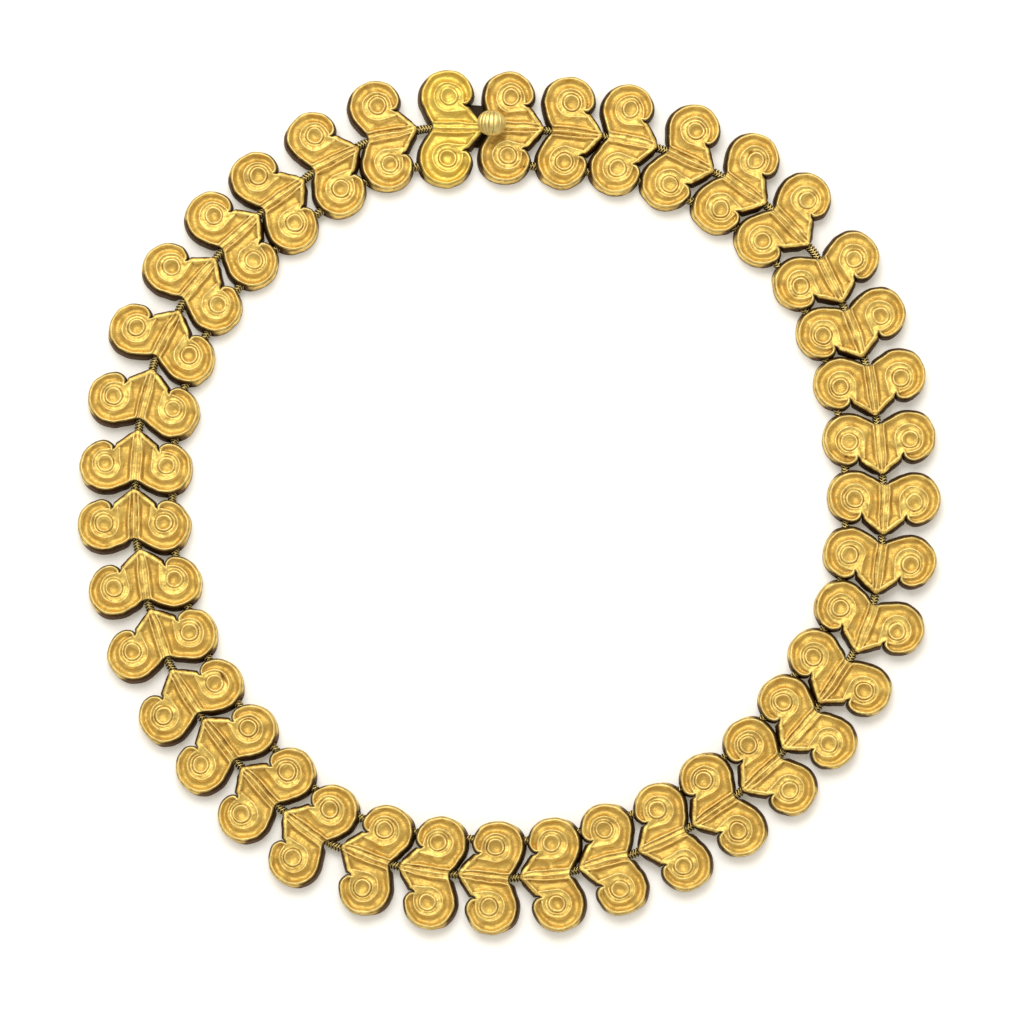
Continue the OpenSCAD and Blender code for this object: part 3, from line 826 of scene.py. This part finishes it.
# A hammered top that differs from link to link: where its points lie and how high
def hammeredTop(number, rng):
    flat = plan.copy()
    for name in ("warp", "wobble"):
        flat += np.stack([waves(plan, rng, *handWork[name]) for _ in range(2)], 1)
    top = faintHeights.copy()
    for side in (1, -1):
        half = smoothStep(-handWork["halfSoft"], handWork["halfSoft"], plan[:, 1] * side)
        strength = rng.uniform(*handWork["lineStrength"]) + waves(plan, rng, *handWork["lineWave"])
        top += (strongHeights - faintHeights) * half * strength
        eye = (linkPlan["eye"][0], side * linkPlan["eye"][1])
        near = np.exp(-((plan - eye) ** 2).sum(1) / handWork["eyeReach"] ** 2)
        flat += near[:, None] * rng.normal(0, handWork["eyeShift"], 2)
        top += near * rng.normal(0, handWork["eyeRise"])
        hookFoot = (np.array(linkPlan["cusp"]) + handWork["hookFoot"]) * (1, side)
        near = np.exp(-((plan - hookFoot) ** 2).sum(1) / handWork["hookReach"] ** 2)
        flat[:, 1] -= side * near * rng.uniform(0, handWork["hookDrop"])
    inward = smoothStep(0.0, handWork["calmRim"], toRim)
    top += inward * waves(plan, rng, *handWork["ripple"])
    top += waves(plan, rng, *handWork["wave"])
    for _ in range(handWork["dents"]):
        spot = plan[rng.integers(len(plan))]
        wide = rng.uniform(*handWork["dentSize"])
        deep = handWork["dentDeep"] * rng.uniform(handWork["dentLeast"], 1)
        top -= deep * np.exp(-((plan - spot) ** 2).sum(1) / wide ** 2) * inward
    marked = np.zeros(len(plan))
    for row in photoMarks["rows"]:
        if row[0] == number:
            deep, shape = markShape(row)
            top -= deep * shape
            marked += shape
    return flat, np.minimum(top, linkTop + handWork["topSpare"]), marked


# Pushes the wall in around each chain, so that the chain runs into a hole
def chainHoles(points, place):
    for route in routes.values():
        near = route[np.linalg.norm(route - place["middle"], axis=1) < handWork["holeReach"]]
        if len(near) < handWork["holeLeast"]:
            continue
        lateral, _ = measure(points[:, :2], near)
        away = np.hypot(lateral, points[:, 2] - chainZ)
        push = np.clip((handWork["holeRadius"] - away) / handWork["holeEdge"], 0, 1) * handWork["holeDeep"]
        front = np.sign((points[:, :2] - place["middle"]) @ place["ahead"] - handWork["holeMiddle"])
        points[:, :2] -= (push * front)[:, None] * place["ahead"]
    return points


# Triangles that every link shares: its top, its wall in rows from the edge down, and its flat back
def linkFaces():
    count = len(edgeLoop)
    upper = np.arange(count)
    following = (upper + 1) % count
    faces = [planFaces]
    for row in range(len(wall["z"])):
        lower = len(plan) + row * count + np.arange(count)
        faces.append(np.stack([upper, lower, lower[following]], 1))
        faces.append(np.stack([upper, lower[following], upper[following]], 1))
        upper = lower
    return np.concatenate(faces + [footFaces + upper[0]])


# One link's points and their values
def linkPoints(number, name, place):
    rng = np.random.default_rng(500 + number)
    flat, top, marked = hammeredTop(number, rng)
    if name == "box_link":
        flat = stemNotch(flat)
    count = len(edgeLoop)
    edge, edgeTop = flat[:count], top[:count]
    fullEdge = linkTop - relief["edgeDrop"]
    points = [np.column_stack([flat, top])]
    rim = grimeAndShade["rim"] * smoothStep(*grimeAndShade["rimReach"][::-1], toRim)
    rim += grimeAndShade["edge"] * smoothStep(grimeAndShade["edgeReach"], 0.0, toRim)
    onWall = [rim * np.maximum(rimGrimeAndShade, grimeAndShade["rimLeast"])]
    for z, out in zip(wall["z"], wall["out"]):
        ring = edge + edgeOut * (lean * out)[:, None]
        level = z * edgeTop / fullEdge
        if z > wall["evenBelow"]:
            level += waves(ring, rng, *handWork["wallWave"])
        points.append(np.column_stack([ring, np.minimum(level, edgeTop - wall["edgeClear"])]))
        # Lower on the wall the dark colour is stronger, and strongest near the foot
        below = min(1.0, grimeAndShade["below"] + grimeAndShade["belowSlope"] * (grimeAndShade["belowTop"] - z))
        foot = grimeAndShade["foot"] * smoothStep(*grimeAndShade["footZ"][::-1], z)
        onWall.append(np.maximum(below * edgeGrimeAndShade, foot))
    points = toWorld(np.concatenate(points), place)
    points[len(plan):] = chainHoles(points[len(plan):], place)
    plain = np.full(len(points) - len(plan), handWork["plain"])
    # hollow and crease say how far a point lies below its neighbours, over a wide and a narrow reach; they
    # drive the painted highlight on crests and the painted shade in hollows and creases
    around = evened(top, planFaces, handWork["hollowRounds"])
    beside = (top[nearby] * nearbyWeight).sum(1)
    hollow = handWork["plain"] + handWork["hollowGain"] * (around - top)
    crease = handWork["plain"] + handWork["creaseGain"] * (beside - top)
    crease += handWork["markGain"] * marked
    values = {
        "hollow": np.concatenate([hollow, plain]) + waves(points[:, :2], rng, *handWork["hollowWave"]),
        "crease": np.clip(np.concatenate([crease, plain]), 0, 1),
        "wall": np.concatenate(onWall),
    }
    return points, values


faces = linkFaces()
for number, (name, place) in enumerate(zip(linkNames, places), 1):
    points, values = linkPoints(number, name, place)
    look = "lemonGold" if name == "tongue_link" else "wornGold"
    link = meshObject(name.replace("_", "") + "Gold", points, faces, golds[look], values)
    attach(link, "necklace")
    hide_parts(name)
print("links built: %d triangles each" % len(faces))


# The chains

weave = {
    "reach": 0.66, "rise": 0.6, "flat": 0.6,    # the chain's half width, half thickness and rounding
    "lag": 0.5, "pitch": 0.5,                   # how far a strand trails back, and the step to the next
    "wire": 0.13, "wireSides": 5, "strandPoints": 10, "strandStart": -0.1, "turnOver": 4,
    "core": 0.6, "coreSides": 8, "coreEvery": 6,
    "hidden": 1.0, "beside": 2,                 # how far the woven stretch runs on inside the links
    "crease": 0.7, "creaseFall": 0.75, "creaseLeast": 0.2,
}


# Points and quads of a round wire along a path of points in space
def tube(path, radius, sides):
    along = np.gradient(path, axis=0)
    along /= np.linalg.norm(along, axis=1)[:, None]
    across = np.cross(along, (0.0, 0.0, 1.0))
    weak = np.linalg.norm(across, axis=1) < 0.2
    across[weak] = np.cross(along[weak], (0.6, 0.8, 0.0))
    across /= np.linalg.norm(across, axis=1)[:, None]
    over = np.cross(across, along)
    turns = (np.arange(sides) * 2 * math.pi / sides)[None, :, None]
    points = path[:, None] + radius * (np.cos(turns) * across[:, None] + np.sin(turns) * over[:, None])
    return points.reshape(-1, 3), wrapped(len(path), sides)


# Quads between rows of points that each go round in a ring
def wrapped(rows, ring):
    i, j = np.meshgrid(np.arange(rows - 1), np.arange(ring), indexing="ij")
    nextSide = (j + 1) % ring
    corners = [i * ring + j, i * ring + nextSide, (i + 1) * ring + nextSide, (i + 1) * ring + j]
    return np.stack(corners, -1).reshape(-1, 4)


# The same with a flat face over each end, turned inside out where flipped is true
def closedForm(rows, ring, flipped=False):
    ends = [list(range(ring))[::-1], [(rows - 1) * ring + k for k in range(ring)]]
    faces = wrapped(rows, ring).tolist() + ends
    return [face[::-1] for face in faces] if flipped else faces


# Which points of a route lie so deep in a link that the weave needn't reach them
def hiddenInLinks(route, setting):
    hidden = np.zeros(len(route), bool)
    deep = weave["hidden"]
    for place in places:
        flat = (route - place["middle"]) / place["size"]
        x, y = flat @ place["ahead"], flat @ place["outward"]
        within = abs(y - setting["y"]) < weave["beside"]
        hidden |= within & (x > deep - setting["back"]) & (x < setting["front"] - deep)
    return hidden


# Fills a round section out towards a square one
def squared(value):
    return np.sign(value) * np.abs(value) ** weave["flat"]


# A woven chain: a core all along, painted near black as the chain's own shadow, and strands bent over it in
# a herringbone wherever a gap shows it
def buildChain(setting, route):
    run = np.concatenate([[0], np.cumsum(np.linalg.norm(np.diff(route, axis=0), axis=1))])
    sparse = route[::weave["coreEvery"]]
    middle = np.column_stack([sparse, np.full(len(sparse), chainZ)])
    points, faces = tube(middle, weave["core"], weave["coreSides"])
    allPoints, allFaces, crease = [points], [faces], [np.full(len(points), 1.0)]
    begun = len(points)
    hidden = hiddenInLinks(route, setting)
    turn = np.linspace(weave["strandStart"], math.pi, weave["strandPoints"])[:, None]
    up = np.array([0, 0, 1.0])
    for s in np.arange(weave["lag"], run[-1] - weave["lag"], weave["pitch"]):
        k = np.searchsorted(run, s)
        if hidden[k]:
            continue
        along = route[min(k + weave["turnOver"], len(route) - 1)] - route[k - weave["turnOver"]]
        along = np.append(along / np.linalg.norm(along), 0)
        side = np.array([-along[1], along[0], 0])
        for hand, ahead in ((1, 0.0), (-1, 0.5 * weave["pitch"])):
            strand = np.append(route[k], chainZ) + (ahead - weave["lag"] * np.sin(turn)) * along
            strand += hand * weave["reach"] * squared(np.sin(turn)) * side
            strand += weave["rise"] * squared(np.cos(turn)) * up
            points, faces = tube(strand, weave["wire"], weave["wireSides"])
            allPoints.append(points)
            allFaces.append(faces + begun)
            # Painted shade: the strands darken towards the core
            sunken = weave["crease"] - weave["creaseFall"] * (points[:, 2] - chainZ)
            crease.append(np.clip(sunken, weave["creaseLeast"], 1.0))
            begun += len(points)
    crease = np.concatenate(crease)
    values = {"crease": crease, "hollow": np.full(len(crease), 0.5), "wall": np.zeros(len(crease))}
    return np.concatenate(allPoints), np.concatenate(allFaces), values


for name, setting in chains.items():
    points, faces, values = buildChain(setting, routes[name])
    chain = meshObject(name.split("_")[0] + "ChainWoven", points, faces, golds["chainGold"], values)
    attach(chain, "necklace")
    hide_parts(name)
    print("%s woven: %d quads" % (name, len(faces)))


# The clasp

clasp = {
    "tongueHalf": 3.7, "tongueZ": 0.52, "tongueThick": 0.5, "tongueRoot": -8.5, "tongueEnd": 2.15,
    "leafHalf": 2.3, "leafThick": 0.35, "leafBack": -3.7, "leafFront": 1.64,
    "hingeX": 2.0, "hingeZ": 1.98, "pin": 0.3, "pinSides": 20,
    # The fold's half thickness, its ends above the tongue's underside and below the hinge, and its rounding
    "foldHalf": 0.15, "foldLow": 0.2, "foldHigh": 0.1, "foldSoft": 0.04,
    "discZ": 4.05, "discThick": 0.3, "disc": 1.4, "discSoft": 0.05,
    "stemInside": 0.2, "stemSides": 24,     # how far the stem runs into the collar
    "beadZ": 5.7, "beadLong": 5.0, "beadWide": 4.5, "beadHigh": 3.1,
    "flutes": 18, "fluteDeep": 0.07, "fluteNarrow": 5, "fluteFade": 1.6, "around": 264, "across": 44,
    # The flutes' uneven spacing and depth, as (height, size) of the waves in it
    "wander": (1.1, 0.9), "uneven": (0.25, 0.8),
    # How dark each part is: the bead between its flutes, in them and at its ends, then the others
    "beadPlain": 0.42, "beadGroove": 0.45, "beadEnd": 0.6,
    "leafDark": 0.7, "stemDark": 0.8, "discDark": 0.6,
    # foldDark and tongueWall darken the tongue's fold and plate further: painted shade
    "tongueDark": 0.5, "foldDark": 0.8, "tongueWall": 0.6,
}


# A flat strip with rounded edges: a row of rounded sections along x
def plate(x0, x1, half, z0, z1, soft=0.08, step=0.5):
    corners = []
    for cy, cz, start in ((half - soft, z1 - soft, 0), (soft - half, z1 - soft, 90),
                          (soft - half, z0 + soft, 180), (half - soft, z0 + soft, 270)):
        corners += list(arc((cy, cz), soft, start, start + 90, soft / 2))
    section = np.array(corners)
    middle = np.array([0, (z0 + z1) / 2])
    shrunk = middle + (section - middle) * (1 - 1.4 * soft / np.ptp(section, axis=0))
    inner = np.arange(x0 + step, x1 - step / 2, step)
    stations = np.concatenate([[x0, x0 + soft / 3], inner, [x1 - soft / 3, x1]])
    sections = [shrunk] + [section] * (len(stations) - 2) + [shrunk]
    points = [np.column_stack([np.full(len(s), x), s]) for x, s in zip(stations, sections)]
    return np.concatenate(points), closedForm(len(stations), len(section), flipped=True)


# A turned form round an upright axis, from (radius, z) pairs that go up, with both ends closed
def turned(profile, centreX, sides=40):
    turns = np.arange(sides) * 2 * math.pi / sides
    circle = np.column_stack([np.cos(turns), np.sin(turns), np.zeros(sides)])
    points = [(centreX, 0, z) + r * circle for r, z in profile]
    return np.concatenate(points), closedForm(len(profile), sides)


# The melon bead: its flutes run across the necklace and meet at its two ends
def flutedBead():
    rng = np.random.default_rng(77)
    around, across = clasp["around"], clasp["across"]
    turns = np.arange(around) * 2 * math.pi / around
    circle = np.column_stack([np.cos(turns), np.sin(turns)])
    wander = waves(circle, rng, *clasp["wander"])
    groove = abs(np.cos((turns * clasp["flutes"] + wander) / 2)) ** (2 * clasp["fluteNarrow"])
    groove *= 1 - clasp["uneven"][0] + waves(circle, rng, *clasp["uneven"])
    points, crease = [], []
    for j in range(1, across):
        polar = j * math.pi / across
        fade = min(1.0, clasp["fluteFade"] * math.sin(polar))
        radius = math.sin(polar) * (1 - clasp["fluteDeep"] * groove * fade)
        x = stem["x"] + clasp["beadLong"] / 2 * radius * np.cos(turns)
        z = clasp["beadZ"] + clasp["beadHigh"] / 2 * radius * np.sin(turns)
        points.append(np.column_stack([x, np.full(around, -clasp["beadWide"] / 2 * math.cos(polar)), z]))
        crease.append(np.clip(clasp["beadPlain"] + clasp["beadGroove"] * groove, 0, 1))
    faces = wrapped(across - 1, around)[:, ::-1].tolist()
    for end, row, order in ((-1, 0, 1), (1, across - 2, -1)):
        pole = (across - 1) * around + (end + 1) // 2
        points.append(np.array([[stem["x"], end * clasp["beadWide"] / 2, clasp["beadZ"]]]))
        crease.append(np.array([clasp["beadEnd"]]))
        for k in range(around):
            faces.append([pole, row * around + k, row * around + (k + 1) % around][::order])
    return np.concatenate(points), faces, np.concatenate(crease)


# Several (points, faces, crease) as one mesh in the box link's frame, with its values
def joined(parts, onWall):
    points, faces, crease = [], [], []
    begun = 0
    for partPoints, partFaces, partCrease in parts:
        points.append(partPoints)
        faces += [[int(v) + begun for v in f] for f in partFaces]
        crease.append(np.broadcast_to(partCrease, len(partPoints)))
        begun += len(partPoints)
    values = {
        "crease": np.concatenate(crease),
        "hollow": np.full(begun, 0.5),
        "wall": np.full(begun, onWall),
    }
    return toWorld(np.concatenate(points), places[1]), faces, values


# The sprung leaf, its stem, the collar and the fluted bead
def thumbPress():
    low, high = clasp["discZ"], clasp["discZ"] + clasp["discThick"]
    disc, soft = clasp["disc"], clasp["discSoft"]
    collar = [(0.6 * disc, low), (0.96 * disc, low), (disc, low + soft)]
    collar += [(disc, high - soft), (0.95 * disc, high)]
    half, thick = clasp["leafHalf"], clasp["leafThick"]
    leafLow = clasp["hingeZ"] - thick / 2
    leaf = plate(clasp["leafBack"], clasp["leafFront"], half, leafLow, leafLow + thick)
    rod = [(stem["radius"], clasp["hingeZ"]), (stem["radius"], low + clasp["stemInside"])]
    parts = [
        (*leaf, clasp["leafDark"]),
        (*turned(rod, stem["x"], clasp["stemSides"]), clasp["stemDark"]),
        (*turned(collar, stem["x"]), clasp["discDark"]),
        flutedBead(),
    ]
    return joined(parts, 0.0)


# The clasp's lower leaf with the fold at its end
def tongue():
    end, low, high = clasp["hingeX"], clasp["tongueZ"], clasp["tongueZ"] + clasp["tongueThick"]
    pin, sides, half, thin = clasp["pin"], clasp["pinSides"], clasp["leafHalf"], clasp["foldHalf"]
    angles = np.linspace(0, 2 * math.pi, sides, endpoint=False)
    x, z = end + pin * np.sin(angles), clasp["hingeZ"] + pin * np.cos(angles)
    rod = np.concatenate([np.column_stack([x, np.full(sides, y), z]) for y in (-half, half)])
    lower = plate(clasp["tongueRoot"], clasp["tongueEnd"], clasp["tongueHalf"], low, high)
    foldLow, foldHigh = low + clasp["foldLow"], clasp["hingeZ"] - clasp["foldHigh"]
    fold = plate(end - thin, end + thin, half, foldLow, foldHigh, clasp["foldSoft"])
    parts = [
        (*lower, clasp["tongueDark"]),
        (*fold, clasp["foldDark"]),
        (rod, closedForm(2, sides, flipped=True), clasp["foldDark"]),
    ]
    return joined(parts, clasp["tongueWall"])


for name, body, node, look, (points, faces, values) in (
    ("thumbPressFluted", "thumb", "thumb_press", "beadGold", thumbPress()),
    ("claspTongue", "necklace", "tongue_link", "tongueGold", tongue()),
):
    piece = meshObject(name, points, faces, golds[look], values, 50)
    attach(piece, body)
    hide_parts(node)
print("clasp built")


# Floor, light and camera

stage = {
    "floorHalf": 1500, "floorLevel": -0.04,    # in mm
    # The white table glows a little with a warm tint: painted light that lifts the shadows on it and warms
    # them
    "floor": {
        "Base Color": (0.92, 0.905, 0.88, 1), "Roughness": 0.9,
        "Emission Color": (0.2, 0.18, 0.13, 1), "Emission Strength": 1.0,
    },
    "room": (0.66, 0.653, 0.643, 1),
    "light": {"place": (-0.12, 0.6, 1.05), "size": (0.8, 0.6), "power": 9.9},
}
photo = {"lens": 194.0, "sensor": 36.0, "distance": 0.95, "elevation": 84.5, "aim": (0.00048, -0.0019, 0.0)}


def paleFloor():
    material = bpy.data.materials.new("palePaper")
    material.use_nodes = True
    for label, value in stage["floor"].items():
        material.node_tree.nodes["Principled BSDF"].inputs[label].default_value = value
    half, level = stage["floorHalf"], stage["floorLevel"]
    corners = [(x * half, y * half, level) for x, y in ((-1, -1), (1, -1), (1, 1), (-1, 1))]
    floor = meshObject("paleFloor", corners, [(0, 1, 2, 3)], material, {})


def softBox(setting):
    lamp = bpy.data.lights.new("farSoftBox", "AREA")
    lamp.shape = "RECTANGLE"
    lamp.size, lamp.size_y = setting["size"]
    lamp.energy = setting["power"]
    holder = inScene("farSoftBox", lamp)
    holder.location = setting["place"]
    holder.rotation_euler = (-Vector(setting["place"])).to_track_quat("-Z", "Y").to_euler()


def photoCamera():
    camera = bpy.data.cameras.new("photoCamera")
    camera.lens = photo["lens"]
    camera.sensor_width = photo["sensor"]
    camera.clip_start, camera.clip_end = 0.01, 10
    rise = math.radians(photo["elevation"])
    back = Vector((0, -math.cos(rise), math.sin(rise)))
    eye = inScene("photoCamera", camera)
    eye.location = Vector(photo["aim"]) + back * photo["distance"]
    eye.rotation_euler = (-back).to_track_quat("-Z", "Y").to_euler()
    bpy.context.scene.camera = eye


def paleRoom():
    world = bpy.data.worlds.new("paleRoom")
    world.use_nodes = True
    world.node_tree.nodes["Background"].inputs["Color"].default_value = stage["room"]
    bpy.context.scene.world = world


paleFloor()
softBox(stage["light"])
photoCamera()
paleRoom()
bpy.context.scene.view_settings.view_transform = "Standard"
print("stage set")
